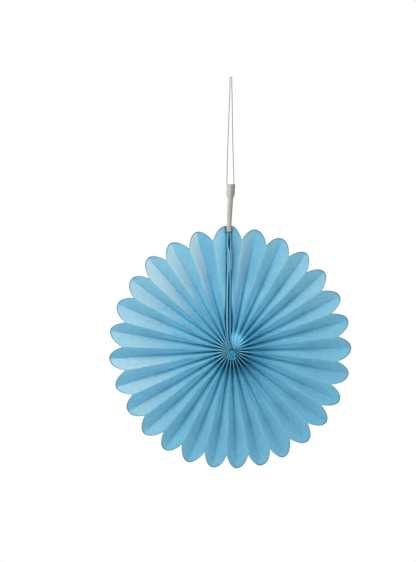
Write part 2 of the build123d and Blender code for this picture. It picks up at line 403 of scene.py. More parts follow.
def fold_angle(size, number):
    """Angle of a fold away from the seam, clockwise from 12 o'clock"""
    spread = (LAST_NOTCH - FIRST_NOTCH) / (size["Panels"] - 2.0)
    even = (number - 1.0) * spread + FIRST_NOTCH
    uneven = calculate("SINE", even) * TOP_SPREAD + calculate("COSINE", even) * SIDE_SPREAD
    uneven = uneven - calculate("SINE", even * 2.0) * DOUBLE_SPREAD
    uneven = uneven + calculate("SINE", even * 3.0) * TRIPLE_SPREAD
    return even + uneven + (chance(number, size["Seed"], 1) - 0.5) * size["Angle spread"]


def fold_line(size, number, along, cut):
    """Place on one fold in the front view, from the hub ring to its end at the cut"""
    panels = size["Panels"]
    at_seam = seam_share(number, panels)
    is_flap = is_past(number, panels, 0.5)
    side = calculate("SIGN", panels * 0.5 - number)
    angle = between(fold_angle(size, number), -SEAM_LEAN, at_seam)
    along_x = calculate("SINE", angle)
    along_z = calculate("COSINE", angle)

    wider = calculate("MAXIMUM", side * -1.0, 0.0) * LEFT_EXTRA
    offset = (between(SEAM_FOLD, SEAM_FLAP, is_flap) + wider) * side * at_seam
    start_x = offset * SEAM_ACROSS.x
    start_z = offset * SEAM_ACROSS.z
    from_rim_x = start_x - RIM_CENTRE[0]
    from_rim_z = start_z - RIM_CENTRE[1]
    run = from_rim_x * along_x + from_rim_z * along_z
    apart = from_rim_x * from_rim_x + from_rim_z * from_rim_z
    reach = calculate("SQRT", run * run - apart + cut * cut) - run

    ring_first = calculate("ARCSINE", SEAM_FOLD / size["Hub radius"])
    ring_angle = (math.tau - ring_first * 2.0) * number / panels + ring_first - SEAM_LEAN
    ring_x = calculate("SINE", ring_angle) * size["Hub radius"] + RING_SHIFT[0]
    ring_z = calculate("COSINE", ring_angle) * size["Hub radius"] + RING_SHIFT[1]
    foot = calculate("COSINE", ring_first) * size["Hub radius"]
    inner_x = between(ring_x, start_x + along_x * foot, at_seam)
    inner_z = between(ring_z, start_z + along_z * foot, at_seam)
    x = between(inner_x, start_x + along_x * reach, along)
    z = between(inner_z, start_z + along_z * reach, along)

    fold_step, along_step = WANDER_STEPS
    wander = ripple(vector(number.tree, number * fold_step, along * along_step, size["Seed"]), 1.0)
    wander = wander * size["Fold wander"] * smooth(along, 0.05, 0.5) * (1.0 - at_seam)
    x = x + along_z * wander
    z = z - along_x * wander

    from_seam = calculate("MAXIMUM", 0.0, calculate("MINIMUM", number, panels - number))
    pull = calculate("POWER", SEAM_PULL, from_seam)
    bend = smooth(z, *BEND_RISE) * fade(z, *BEND_FALL) * SEAM_BEND
    is_free = calculate("MAXIMUM", is_flap, 1.0 - at_seam)
    right_flap = is_flap * calculate("MAXIMUM", 0.0, side)
    jog = swell_at(z, smooth, JOG) * right_flap
    return x + (bend + seam_opening(z, smooth) * side * is_free + jog) * pull, z


class SheetPoint:
    """Any point of the sheet, worked out in nodes: its panel, its place in the fan and its paint"""

    def __init__(self, tree, size):
        self.tree = tree
        self.size = size
        self.panels = size["Panels"]
        self.seed = size["Seed"]
        self.find_panel()
        self.find_cut()
        self.find_place()
        self.find_depth()

    def find_panel(self):
        """Its panel, and its shares across the panel and along the folds"""
        cells = self.size["Cells across"]
        columns = (self.panels + 2.0) * cells
        inputs = {0: 1.0, 1: 1.0, 2: columns + 1.0, 3: self.size["Cells along"] + 1.0}
        self.grid = output(add_node(self.tree, "GeometryNodeMeshGrid", inputs), "Mesh")
        on_grid = output(self.tree.nodes.new("GeometryNodeInputPosition"))
        place = add_node(self.tree, "ShaderNodeSeparateXYZ", {0: on_grid})
        column = calculate("ROUND", (output(place, 0) + 0.5) * columns)
        panel = calculate("MINIMUM", calculate("FLOOR", (column + 0.01) / cells), self.panels + 1.0)
        even_share = (column - panel * cells) / cells
        gathered = even_share * even_share
        spread_out = (1.0 - even_share) * (1.0 - even_share)
        self.share = gathered / (gathered + spread_out)
        self.along = output(place, 1) + 0.5
        self.number = panel - 1.0
        # 1 on the first half of each petal, clockwise, from its ridge to its valley
        self.is_first = calculate("MODULO", self.number + 2.0, 2.0)
        self.from_ridge = between(1.0 - self.share, self.share, self.is_first)
        self.valley = self.number + self.is_first
        self.ridge = self.number + 1.0 - self.is_first
        self.seam_valley = seam_share(self.valley, self.panels)
        self.seam_ridge = seam_share(self.ridge, self.panels)
        self.beside_seam = self.seam_valley * (1.0 - self.seam_ridge)

    def find_cut(self):
        """Radius of the cut edge in line with the point: a tip at each valley, a notch at each ridge"""
        short = chance(self.valley, self.seed, 2) * (1.0 - self.seam_valley) * TIP_SHORT
        tip = self.size["Tip radius"] - short
        stray = (chance(self.ridge, self.seed, 3) - 0.5) * NOTCH_SPREAD * (1.0 - self.seam_ridge)
        notch = self.size["Notch radius"] + stray
        power = EDGE_POWER + (chance(self.number, self.seed, 4) - 0.5) * EDGE_POWER_SPREAD
        self.cut = between(notch, tip, 1.0 - calculate("POWER", 1.0 - self.from_ridge, power))
        self.to_cut = (1.0 - self.along) * self.cut

    def find_place(self):
        """Place in the front view, between its two folds, which have rounded crests"""
        first_x, first_z = fold_line(self.size, self.number, self.along, self.cut)
        second_x, second_z = fold_line(self.size, self.number + 1.0, self.along, self.cut)
        pitch = distance(second_x - first_x, second_z - first_z)
        crest = calculate("MINIMUM", CREST_HALF, pitch * CREST_OF_PITCH) * fade(self.along, 0.08, 0.2)
        steep = self.size["Pleat width"] / CREST_HALF * -1.0
        at_valley = calculate("EXPONENT", (1.0 - self.from_ridge) * steep)
        swell = at_valley - calculate("EXPONENT", self.from_ridge * steep)
        swell = swell * crest / calculate("MAXIMUM", pitch, 0.0001)
        plan_share = self.share + swell * (self.is_first * 2.0 - 1.0)
        self.x = between(first_x, second_x, plan_share)
        self.z = between(first_z, second_z, plan_share)
        self.radius = distance(self.x, self.z)

    def find_depth(self):
        """Depth between the front and the back, which draw together as the pleats open to the rim"""
        half = self.size["Pleat width"] * 0.5
        flatness = self.radius / self.size["Flat radius"]
        bow = half * calculate("SQRT", calculate("MAXIMUM", 0.0, 1.0 - flatness * flatness))
        setback = chance(self.ridge, self.seed, 5) * CREST_SETBACK * smooth(self.along, 0.1, 0.6)
        front = between(bow, half, self.seam_ridge) - setback * (1.0 - self.seam_ridge)
        back = between(bow, half, self.seam_valley)
        self.depth = between(front * -1.0, back, self.fold_level())

    def fold_level(self):
        """0 on a ridge and 1 in a valley, with bent folds, pressed pleats and bulging panels"""
        ridge_round = smooth(self.along, 0.3, 1.0) * RIDGE_RELAXED + FOLD_BEND
        valley_round = fade(self.to_cut, 0.001, 0.012) * VALLEY_RELAXED + FOLD_BEND
        away = 1.0 - self.from_ridge
        level = self.from_ridge + ridge_round * calculate("EXPONENT", self.from_ridge / ridge_round * -1.0)
        level = level - valley_round * calculate("EXPONENT", away / valley_round * -1.0)
        level = (level - ridge_round) / (1.0 - ridge_round - valley_round)

        from_patch = distance(self.x - PRESSED_AT[0], self.z - PRESSED_AT[1])
        pressed = fade(from_patch, *PRESSED_RADII) * 0.8
        from_ring = distance(self.x - RING_SHIFT[0], self.z - RING_SHIFT[1])
        gathered_in = fade(from_ring, *GATHERED_RADII) * (1.0 - self.seam_valley) * 0.2
        level = level * (1.0 - calculate("MAXIMUM", pressed, gathered_in))
        bulge = fade(self.radius, 0.02, 0.1) * HUB_BULGE * (1.0 - self.seam_ridge) + 1.0
        bulge = bulge + self.beside_seam * smooth(self.radius, 0.03, 0.1) * SEAM_BULGE
        return calculate("POWER", calculate("MAXIMUM", level, 0.0), bulge)

    def painted_haze(self):
        """Painted sheen where it is above 0, and painted shade where it is below"""
        right = self.x / self.radius
        up = self.z / self.radius
        is_second = 1.0 - self.is_first

        def facing(way, low, high):
            return smooth(right * way[0] + up * way[1], low, high)

        left = facing(SHEEN_LEFT, 0.1, 0.7) * self.is_first
        left = left * (smooth(up, 0.45, 0.95) * 0.45 + 0.62)
        upper_right = facing(SHEEN_RIGHT, 0.5, 0.9) * smooth(right, -0.05, 0.1) * self.is_first * 0.14
        off_top = smooth(calculate("ABSOLUTE", right), 0.15, 0.5)
        top = facing(SHEEN_TOP, -0.2, 0.8) * is_second * 0.28 * off_top
        top = top - smooth(up, 0.7, 0.95) * is_second * 0.2
        painted_haze = (left + upper_right + top) * smooth(self.radius, 0.035, 0.105)
        painted_haze = painted_haze * (chance(self.number, self.seed, 8) * 0.4 + 0.7)

        # Painted light and shade round the hub: lighter to the left and above, darker to the right and below
        hub_light_and_shade = smooth(right * -1.0, 0.2, 0.9) * 0.3
        hub_light_and_shade = hub_light_and_shade + smooth(up, 0.2, 0.9) * fade(self.radius, 0.016, 0.024) * 0.35
        hub_light_and_shade = hub_light_and_shade - smooth(right, 0.2, 0.8) * smooth(self.radius, 0.013, 0.022) * 0.25
        hub_light_and_shade = hub_light_and_shade - smooth(up * -1.0, 0.1, 0.8) * fade(self.radius, 0.02, 0.032) * 0.5
        painted_haze = painted_haze + hub_light_and_shade * fade(self.radius, 0.03, 0.05)

        # The panels beside the seam get painted shade between the hub and the rim, most so at the right
        seam_shade = self.beside_seam * (1.0 - self.is_first * 0.5) * smooth(self.radius, 0.01, 0.028)
        seam_shade = seam_shade * (1.0 - smooth(self.radius, 0.096, 0.114) * 0.75)
        painted_haze = painted_haze * (1.0 - self.beside_seam * 0.7)
        return painted_haze - seam_shade * smooth(self.from_ridge, -0.1, 0.95)


def carry_on(geometry, kind, inputs=None, **settings):
    """Next step of a geometry through its tree"""
    return output(add_node(geometry.tree, kind, {"Geometry": geometry, **(inputs or {})}, **settings))


def stored(tree, name, data_type="FLOAT"):
    """Value that the sheet keeps at each of its points"""
    return output(add_node(tree, "GeometryNodeInputNamedAttribute", {"Name": name}, data_type=data_type))


def store(geometry, name, value, data_type="FLOAT", domain="POINT"):
    """Keep a value at each point, for the waves and the materials"""
    inputs = {"Name": name, "Value": value}
    kind = "GeometryNodeStoreNamedAttribute"
    return carry_on(geometry, kind, inputs, data_type=data_type, domain=domain)


def soft_waves(tree, height):
    """Offset of the waves in each panel, which die away at its folds and near the hub"""
    share = stored(tree, "from_ridge")
    window = share * (1.0 - share) * 4.0
    flat_place = stored(tree, "sheet_uv", "FLOAT_VECTOR")
    broad, fine = [ripple(flat_place, scale, detail) * weight for scale, detail, weight in WAVES]
    wave = (broad + fine) * height * window * smooth(stored(tree, "from_hub"), 0.012, 0.06)
    normal = output(tree.nodes.new("GeometryNodeInputNormal"))
    return output(add_node(tree, "ShaderNodeVectorMath", {0: normal, "Scale": wave}, operation="SCALE"))


def pleat_tree(values):
    """Sheet folded on the fan's rule: straight folds from hub to rim, bowed in depth"""
    tree = bpy.data.node_groups.new("Pleated sheet", "GeometryNodeTree")
    tree.is_modifier = True
    tree.interface.new_socket("Sheet", in_out="OUTPUT", socket_type="NodeSocketGeometry")
    size = named_inputs(tree, values)
    point = SheetPoint(tree, size)
    across = (point.number + point.share) * size["Pleat width"]
    flat_place = vector(tree, across, point.along * size["Tip radius"], 0.0)
    sheet = store(point.grid, "sheet_uv", flat_place, "FLOAT2", "CORNER")
    sheet = store(sheet, "from_ridge", point.from_ridge)
    sheet = store(sheet, "to_cut", point.to_cut)
    sheet = store(sheet, "from_hub", point.radius)
    sheet = store(sheet, "petal_tone", chance(point.number, size["Seed"], 6))
    sheet = store(sheet, "painted_light", point.painted_haze())

    from_hub = vector(tree, point.x, point.depth, point.z)
    place = add_node(tree, "ShaderNodeVectorMath", {0: size["Hub"], 1: from_hub}, operation="ADD")
    sheet = carry_on(sheet, "GeometryNodeSetPosition", {"Position": output(place)})
    waves = soft_waves(tree, size["Wave height"])
    sheet = carry_on(sheet, "GeometryNodeSetPosition", {"Offset": waves})
    sheet = carry_on(sheet, "GeometryNodeSetShadeSmooth", {"Shade Smooth": True})
    sheet = carry_on(sheet, "GeometryNodeRealizeInstances")
    sheet = carry_on(sheet, "GeometryNodeSetMaterial", {"Material": size["Tissue"]})
    ragged = stored(tree, "from_hub") + stored(tree, "petal_tone") * PRESSED_RAGGED
    near_hub = calculate("LESS_THAN", ragged, PRESSED_REACH)
    pressed = {"Selection": near_hub, "Material": size["Pressed"]}
    sheet = carry_on(sheet, "GeometryNodeSetMaterial", pressed)
    feed(tree, tree.nodes.new("NodeGroupOutput").inputs[0], sheet)
    return tree


# Meshes


def new_object(name, mesh):
    piece = bpy.data.objects.new(name, mesh)
    bpy.context.scene.collection.objects.link(piece)
    return piece


def apply_modifiers(piece):
    """Turn the evaluated piece into a plain mesh and clear its modifiers"""
    bpy.context.view_layer.update()
    graph = bpy.context.evaluated_depsgraph_get()
    evaluated = piece.evaluated_get(graph)
    mesh = bpy.data.meshes.new_from_object(evaluated, preserve_all_data_layers=True, depsgraph=graph)
    piece.modifiers.clear()
    piece.data = mesh
    mesh.name = piece.name
    return mesh


def grid_mesh(name, rows, columns, place, close_round=False):
    """Mesh of rows by columns points; close_round joins the last column to the first"""
    mesh = bpy.data.meshes.new(name)
    points = [place(row, column) for row in range(rows) for column in range(columns)]
    faces = []
    for row in range(rows - 1):
        for column in range(columns if close_round else columns - 1):
            after = (column + 1) % columns
            low, high = row * columns, (row + 1) * columns
            faces.append((low + column, low + after, high + after, high + column))
    mesh.from_pydata(points, [], faces)
    return mesh


def close_ends(mesh, columns):
    """Close the first and last ring of a round mesh with a fan about a middle point"""
    work = bmesh.new()
    work.from_mesh(mesh)
    work.verts.ensure_lookup_table()
    points = list(work.verts)
    for ring, outward in ((points[:columns], True), (points[-columns:], False)):
        middle = work.verts.new(sum((point.co for point in ring), Vector()) / columns)
        for before, after in zip(ring, ring[1:] + ring[:1]):
            pair = (after, before) if outward else (before, after)
            work.faces.new((*pair, middle))
    bmesh.ops.recalc_face_normals(work, faces=work.faces)
    work.to_mesh(mesh)
    work.free()


def smooth_faces(mesh, sharp_from=None):
    """Shade the faces smooth, but for edges that turn by more than this angle in degrees"""
    for face in mesh.polygons:
        face.use_smooth = True
    if sharp_from:
        mesh.set_sharp_from_angle(angle=math.radians(sharp_from))


def round_piece(name, rows, columns, place, material):
    """Closed round piece with a smooth skin"""
    piece = new_object(name, grid_mesh(name, rows, columns, place, close_round=True))
    close_ends(piece.data, columns)
    smooth_faces(piece.data)
    piece.data.materials.append(material)
    return piece


def carry(piece, slot, *nodes):
    """Let a finished piece ride on the fan and stand for its solids"""
    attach(piece, "root")
    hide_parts(*nodes)


# Materials

# What the grain of a paper says, in this order
GRAIN_INPUTS = ("Cloud size", "Cloudiness", "Fibre size", "Fibre strength")
FIBRE_TURNS = (0.5, 2.2)  # the two ways that the fibres cross, in radians
FIBRE_STRETCH = (1.0, 0.22, 0.6)  # and how they are drawn out

TISSUE_GRAIN = (0.005, 0.12, 0.0012, 0.2)
EDGE_GRAIN = (0.002, 0.1, 0.0004, 0.2)
CARD_GRAIN = (0.004, 0.08, 0.0005, 0.15)
PAD_GRAIN = (0.003, 0.1, 0.0005, 0.1)
CORE_GRAIN = (0.0018, 2.0, 0.0009, 1.0)
TAPE_GRAIN = (0.003, 0.16, 0.0006, 0.22)

# Colours that the tissue's own is multiplied by: painted shade, painted bounced light by the hub, a darker
# rim
SHADE = (0.4, 0.55, 0.62)
HUB_SHADE = (0.4, 0.6, 0.65)
HUB_BOUNCED_LIGHT = (0.6, 1.06, 1.12)
RIM_DARKENING = (0.88, 0.91, 0.92)
RIDGE_SHADE = (0.68, 0.765, 0.83)


def opaque(rgb):
    return (*rgb, 1.0)


def paper_group():
    """Cloudy pulp and crossed fibres, shared by every paper of the fan"""
    existing = bpy.data.node_groups.get("Paper pulp")
    if existing:
        return existing
    tree = bpy.data.node_groups.new("Paper pulp", "ShaderNodeTree")
    grain = dict(zip(GRAIN_INPUTS, CARD_GRAIN))
    size = named_inputs(tree, {"Place": Vector(), "Colour": (1.0, 1.0, 1.0, 1.0), **grain})
    tree.interface.new_socket("Colour", in_out="OUTPUT", socket_type="NodeSocketColor")
    tree.interface.new_socket("Height", in_out="OUTPUT", socket_type="NodeSocketFloat")
    clouds = ripple(size["Place"], 1.0 / size["Cloud size"], 4.0, 0.6)
    fibre_scale = 1.0 / size["Fibre size"]
    fibres = []
    for turn in FIBRE_TURNS:
        inputs = {"Vector": size["Place"], "Rotation": (0, 0, turn), "Scale": FIBRE_STRETCH}
        stretched = output(add_node(tree, "ShaderNodeMapping", inputs))
        fibres.append(ripple(stretched, fibre_scale, 2.0, 0.6))
    fibre = fibres[0] + fibres[1]
    level = clouds * size["Cloudiness"] * 2.0 + fibre * size["Fibre strength"] + 1.0
    tone = {"Value": level, "Saturation": 1.0 - clouds * 0.25, "Color": size["Colour"]}
    result = tree.nodes.new("NodeGroupOutput")
    feed(tree, result.inputs["Colour"], output(add_node(tree, "ShaderNodeHueSaturation", tone)))
    feed(tree, result.inputs["Height"], clouds * 0.5 + fibre * 0.5)
    return tree


def base_material(name, roughness, specular=0.25):
    """Material with a Principled shader, and its tree and shader"""
    material = bpy.data.materials.new(name)
    material.use_nodes = True
    tree = material.node_tree
    shader = tree.nodes["Principled BSDF"]
    shader.inputs["Roughness"].default_value = roughness
    shader.inputs["Specular IOR Level"].default_value = specular
    return material, tree, shader


def pulp(tree, place, rgb, grain):
    """Place the shared paper group in a material"""
    inputs = {"Place": place, "Colour": opaque(rgb), **dict(zip(GRAIN_INPUTS, grain))}
    node = add_node(tree, "ShaderNodeGroup", inputs, node_tree=paper_group())
    return output(node, "Colour"), output(node, "Height")


def bump(tree, shader, height, distance, strength=1.0):
    inputs = {"Height": height, "Distance": distance, "Strength": strength}
    feed(tree, shader.inputs["Normal"], output(add_node(tree, "ShaderNodeBump", inputs)))


def attribute(tree, name):
    return output(add_node(tree, "ShaderNodeAttribute", attribute_name=name), "Fac")


def paint_over(tree, paint, layers):
    """Blend layers of (share, colour, blend type) over a colour, one after the other"""
    for share, rgb, blend_type in layers:
        # A Mix node's sockets 6 and 7 take the two colours, and its output 2 gives the blended one
        inputs = {0: share, 6: paint, 7: opaque(rgb)}
        mixed = add_node(tree, "ShaderNodeMix", inputs, data_type="RGBA", blend_type=blend_type)
        paint = output(mixed, 2)
    return paint


def tissue_material(name, colours, see_through):
    """Thin dyed tissue: painted sheen and shade, lit valleys, highlit ridges by the hub, shaded creases, dark
    edge
    """
    material, tree, shader = base_material(name, roughness=0.8, specular=0.08)
    flat = output(add_node(tree, "ShaderNodeUVMap", uv_map="sheet_uv"))
    dyed, height = pulp(tree, flat, colours.tissue, TISSUE_GRAIN)
    ridge = attribute(tree, "from_ridge")
    to_cut = attribute(tree, "to_cut")
    from_hub = attribute(tree, "from_hub")
    painted_light = attribute(tree, "painted_light")
    midway = smooth(from_hub, 0.012, 0.022) * fade(from_hub, 0.045, 0.08)
    # Painted highlight along the ridges near the hub
    ridge_highlight = fade(ridge, 0.0, 0.12) * smooth(from_hub, 0.004, 0.011) * fade(from_hub, 0.014, 0.024)
    # Painted shade along the valley creases and in the valleys near the hub
    crease_shade = smooth(ridge, 0.92, 1.0) * smooth(to_cut, 0.003, 0.012) * 0.25
    hub_valley_shade = smooth(ridge, 0.45, 0.9) * fade(from_hub, 0.009, 0.018) * 0.5
    layers = (
        # Painted sheen where the stored value is above 0, and painted shade where it is below
        (painted_light * (height * 1.6 + 1.0), colours.painted_light, "MIX"),
        (painted_light * -1.0, SHADE, "MULTIPLY"),
        # Painted colour of light bounced between the pleats near the hub; the sheet is darker towards the rim
        (fade(from_hub, 0.012, 0.055), HUB_BOUNCED_LIGHT, "MULTIPLY"),
        (smooth(from_hub, 0.06, 0.085), RIM_DARKENING, "MULTIPLY"),
        (fade(ridge, 0.0, 0.6) * midway, RIDGE_SHADE, "MULTIPLY"),
        (smooth(ridge, 0.3, 0.8) * midway, colours.lit_fold, "MIX"),
        (ridge_highlight, colours.crest_highlight, "MIX"),
        (painted_light * fade(from_hub, 0.03, 0.05) * -1.0, HUB_SHADE, "MULTIPLY"),
        (calculate("MAXIMUM", crease_shade, hub_valley_shade), colours.valley_shade, "MIX"),
    )
    # Every panel has its own tone, from 3% darker to 3% lighter
    tone = attribute(tree, "petal_tone") * 0.06 + 0.97
    tones = {"Color": paint_over(tree, dyed, layers), "Value": tone}
    toned = output(add_node(tree, "ShaderNodeHueSaturation", tones))
    at_cut = fade(to_cut, 0.0008, 0.0019) * 0.75
    edged = paint_over(tree, toned, [(at_cut, colours.cut_edge, "MIX")])
    feed(tree, shader.inputs["Base Color"], edged)
    bump(tree, shader, height, 0.0003, strength=0.6)
    shader.inputs["Subsurface Weight"].default_value = see_through
    shader.inputs["Subsurface Radius"].default_value = (1.0, 1.0, 1.0)
    shader.inputs["Subsurface Scale"].default_value = 0.0005
    return material


def paper_material(name, rgb, roughness, grain, bump_height):
    """Plain opaque paper or card, on Object coordinates"""
    material, tree, shader = base_material(name, roughness)
    place = output(tree.nodes.new("ShaderNodeTexCoord"), "Object")
    dyed, height = pulp(tree, place, rgb, grain)
    feed(tree, shader.inputs["Base Color"], dyed)
    bump(tree, shader, height, bump_height)
    return material


# Operators


class ROSETTE_OT_pleated_sheet(bpy.types.Operator):
    """Fold the tissue sheet and open it to a full disc"""

    bl_idname = "rosette.pleated_sheet"
    bl_label = "Pleated Sheet"

    def execute(self, context):
        sizes = context.scene.fan_sizes
        colours = context.scene.fan_colours
        values = {
            "Panels": sizes.panels,
            "Cells across": sizes.cells_across,
            "Cells along": sizes.cells_along,
            "Tip radius": sizes.tip_radius,
            "Notch radius": sizes.notch_radius,
            "Flat radius": sizes.flat_radius,
            "Pleat width": sizes.pleat_width,
            "Hub radius": sizes.hub_radius,
            "Wave height": sizes.wave_height,
            "Fold wander": sizes.fold_wander,
            "Angle spread": sizes.angle_spread,
            "Seed": sizes.seed,
            "Hub": HUB,
            "Tissue": tissue_material("tissue paper", colours, 0.85),
            "Pressed": tissue_material("pressed tissue", colours, 0.0),
        }
        sheet = new_object("tissue_sheet", bpy.data.meshes.new("tissue_sheet"))
        pleats = sheet.modifiers.new("Pleats", "NODES")
        pleats.node_group = pleat_tree(values)
        for item in pleats.node_group.interface.items_tree:
            if item.in_out == "INPUT":
                pleats[item.identifier] = values[item.name]
        thickness = sheet.modifiers.new("Thickness", "SOLIDIFY")
        thickness.thickness = sizes.paper
        thickness.offset = 0.0
        mesh = apply_modifiers(sheet)
        if not mesh.polygons:
            raise RuntimeError("The pleats made no faces")
        edge = paper_material("tissue cut edge", colours.cut_edge, 0.8, EDGE_GRAIN, 0.00005)
        mesh.materials.append(edge)
        self.mark_cut_edges(mesh)
        carry(sheet, "tissue", "pleated_fan")
        return {"FINISHED"}

    def mark_cut_edges(self, mesh):
        """Give the sheet's narrow cut edges their own finish, with sharp borders"""
        one_side = len(mesh.vertices) // 2
        work = bmesh.new()
        work.from_mesh(mesh)
        for face in work.faces:
            sides = {corner.index < one_side for corner in face.verts}
            if len(sides) == 2:
                face.smooth = False
                face.material_index = len(mesh.materials) - 1
                for edge in face.edges:
                    edge.smooth = False
        work.to_mesh(mesh)
        work.free()


# Shares of the card's depth at which its sides have points, from front to back
CARD_SHARES = (0, 0.01, 0.04, 0.1, 0.2, 0.32, 0.44, 0.55, 0.65, 0.74, 0.83, 0.91, 0.97, 1)
CARD_ROWS = 91
CARD_SUNK = {-1: 0.0022, 1: 0.0012}  # near the hub the left and right card's fronts lie deeper
CARD_THINNED = 0.0007  # and the cards are this much thinner there
CARD_CORNER = 0.0001  # what is taken off at their front corners
PAD_LOW, PAD_HIGH = 0.0835, 0.1035
PAD_DEPTH = 0.01
PAD_FORWARD = 0.001  # the pad's middle lies this far in front of the fan's


class ROSETTE_OT_end_cards(bpy.types.Operator):
    """Cut the two end cards that meet at the seam, and the pad between them"""

    bl_idname = "rosette.end_cards"
    bl_label = "End Cards"

    def execute(self, context):
        colours = context.scene.fan_colours
        card = paper_material("dyed card", colours.card, 0.75, CARD_GRAIN, 0.0001)
        # The cards' faces in the gap get a darker copy of the card, as painted shade
        shaded_inside = paper_material("shaded card in the gap", colours.card_gap_shade, 0.9, CARD_GRAIN, 0.0001)
        self.make_card(-1, "card_left", "end_card_left", card, shaded_inside)
        self.make_card(1, "card_right", "end_card_right", card, shaded_inside)
        # The pad's dark blue is painted shade of the gap
        self.make_pad(paper_material("adhesive pad", colours.pad, 0.5, PAD_GRAIN, 0.0001))
        return {"FINISHED"}

    def make_card(self, side, name, node, outside, shaded_inside):
        """One card from the gap's side out, from its foot at the hub to its rounded top"""
        ring = [(share, False) for share in CARD_SHARES] + [(share, True) for share in reversed(CARD_SHARES)]

        def place(row, column):
            share, is_outer = ring[column]
            top = between(SEAM_NOTCH, SEAM_TOP, 1 - (1 - share) ** EDGE_POWER)
            foot = between(CARD_FOOT, CARD_BACK_FOOT, soft_step(share, 0.03, 0.07))
            height = foot + (top - foot) * row / (CARD_ROWS - 1)
            sunk = soft_fall(height, 0.010, 0.026) * (1 - share)
            depth = -HALF_PLEAT + 2 * HALF_PLEAT * share + CARD_SUNK[side] * sunk
            # The cards stand apart in front and meet at the back: farther back at the pad and the hub
            deeper = max(soft_step(height, 0.074, 0.082), soft_fall(height, 0.012, 0.022))
            open_share = soft_fall(share, 0.25 + 0.3 * deeper, 0.45 + 0.45 * deeper)
            corner = CARD_CORNER * soft_fall(share, 0.0, 0.012)
            if is_outer:
                thin = CARD_THINNED * soft_fall(height, 0.004, 0.016) * open_share
                offset = GAP_HALF + CARD_THICKNESS + seam_opening(height) * open_share - corner - thin
                offset += LEFT_EXTRA if side < 0 else 0
            else:
                offset = (GAP_HALF + seam_opening(height)) * open_share + corner
            offset = side * offset + seam_bend(height)
            if side > 0 or not is_outer:
                offset += swell_at(height, soft_step, JOG) * open_share
            return seam_place(offset, height, depth)

        card = new_object(name, grid_mesh(node, CARD_ROWS, len(ring), place, close_round=True))
        close_ends(card.data, len(ring))
        card.data.materials.append(outside)
        card.data.materials.append(shaded_inside)
        for face in card.data.polygons[: (CARD_ROWS - 1) * len(ring)]:
            face.material_index = int(0 < face.index % len(ring) < len(CARD_SHARES) - 1)
        smooth_faces(card.data, sharp_from=50)
        carry(card, "card", node)

    def make_pad(self, adhesive):
        """Pad between the cards, as thick as the gap that it closes"""
        rows, columns = 21, 9

        def place(row, column):
            height = PAD_LOW + (PAD_HIGH - PAD_LOW) * row / (rows - 1)
            depth = PAD_DEPTH * (column / (columns - 1) - 0.5) - PAD_FORWARD
            share = (depth + HALF_PLEAT) / (2 * HALF_PLEAT)
            jog = swell_at(height, soft_step, JOG) * soft_fall(share, 0.55, 1.0)
            return seam_place(seam_bend(height) + jog, height, depth)

        pad = new_object("seam_pad_film", grid_mesh("seam_pad_film", rows, columns, place))
        thickness = pad.modifiers.new("Thickness", "SOLIDIFY")
        thickness.thickness = 2 * (GAP_HALF + PAD_CLOSES)
        thickness.offset = 0.0
        corners = pad.modifiers.new("Corners", "BEVEL")
        corners.width = 0.0001
        corners.segments = 2
        apply_modifiers(pad)
        smooth_faces(pad.data, sharp_from=50)
        pad.data.materials.append(adhesive)
        carry(pad, "adhesive", "seam_pad")


# Rings of the core, from its back to the middle of its crumpled knob in front: radius, place behind
# the fan's middle plane, and its share of the knob's shift
CORE_RINGS = [(0.0012, 0.0084, 0), (0.003, 0.0084, 0), (0.0046, 0.0081, 0), (0.0041, 0.0076, 0)]
CORE_RINGS += [(0.0040, 0.0066 - 0.0016 * step, 0) for step in range(4)]
CORE_RINGS += [(0.0037, 0.0012, 0.3), (0.0035, 0.0006, 0.8), (0.0036, 0.0, 1)]
CORE_RINGS += [(0.0037, -0.0025, 1), (0.0038, -0.0050, 1), (0.0040, -0.0072, 1), (0.0046, -0.0083, 1)]
CORE_RINGS += [(0.0048, -0.0086, 1), (0.0047, -0.0089, 1), (0.0043, -0.0091, 1), (0.0037, -0.0091, 1)]
CORE_RINGS += [(0.0030, -0.0090, 1), (0.0022, -0.0089, 1), (0.0014, -0.0088, 1), (0.0006, -0.0087, 1)]
CORE_COLUMNS = 96
GATHERS = 21  # small folds round the knob
CORE_FRONT = -0.0093  # no crumple stands in front of this
KNOB_SHIFT = (0.0005, -0.0060)  # the knob hangs down from the middle of the folds' ring


class ROSETTE_OT_hub(bpy.types.Operator):
    """Crumple the hub that holds the inner ends of the folds"""

    bl_idname = "rosette.hub"
    bl_label = "Hub"

    def execute(self, context):
        # The hub's colour is the tissue's blue painted darker, as shade in its recess
        dye = context.scene.fan_colours.core
        crumpled = paper_material("crumpled tissue", dye, 0.8, CORE_GRAIN, 0.0006)
        hub = round_piece("hub_nub", len(CORE_RINGS), CORE_COLUMNS, self.place, crumpled)
        carry(hub, "core", "hub_core")
        return {"FINISHED"}

    def place(self, row, column):
        radius, depth, shifted = CORE_RINGS[row]
        angle = math.tau * column / CORE_COLUMNS
        right = RING_SHIFT[0] + KNOB_SHIFT[0] * shifted
        centre = Vector((right, depth, RING_SHIFT[1] + KNOB_SHIFT[1] * shifted))
        outward = Vector((math.sin(angle), 0, math.cos(angle)))
        point = centre + outward * radius
        crumple = noise.fractal(point * 1100, 1.0, 2.0, 3) * 0.00045
        gathers = math.sin(angle * GATHERS + 5 * noise.noise(point * 600)) * 0.00035
        gathers = gathers * shifted * min(radius / 0.003, 1)
        point += outward * (crumple * 0.7 + gathers * 0.8)
        point.y = max(point.y - (crumple + gathers) * shifted, CORE_FRONT)
        return HUB + point


# Half width and half depth of the tab's blade in the gap, of its stem at both ends and of its head
TAB_BLADE = (0.00048, 0.0035)
TAB_THROAT = (0.00245, 0.0016)
TAB_STEM = (0.0028, 0.0016)
TAB_HEAD = (0.0043, 0.0021)
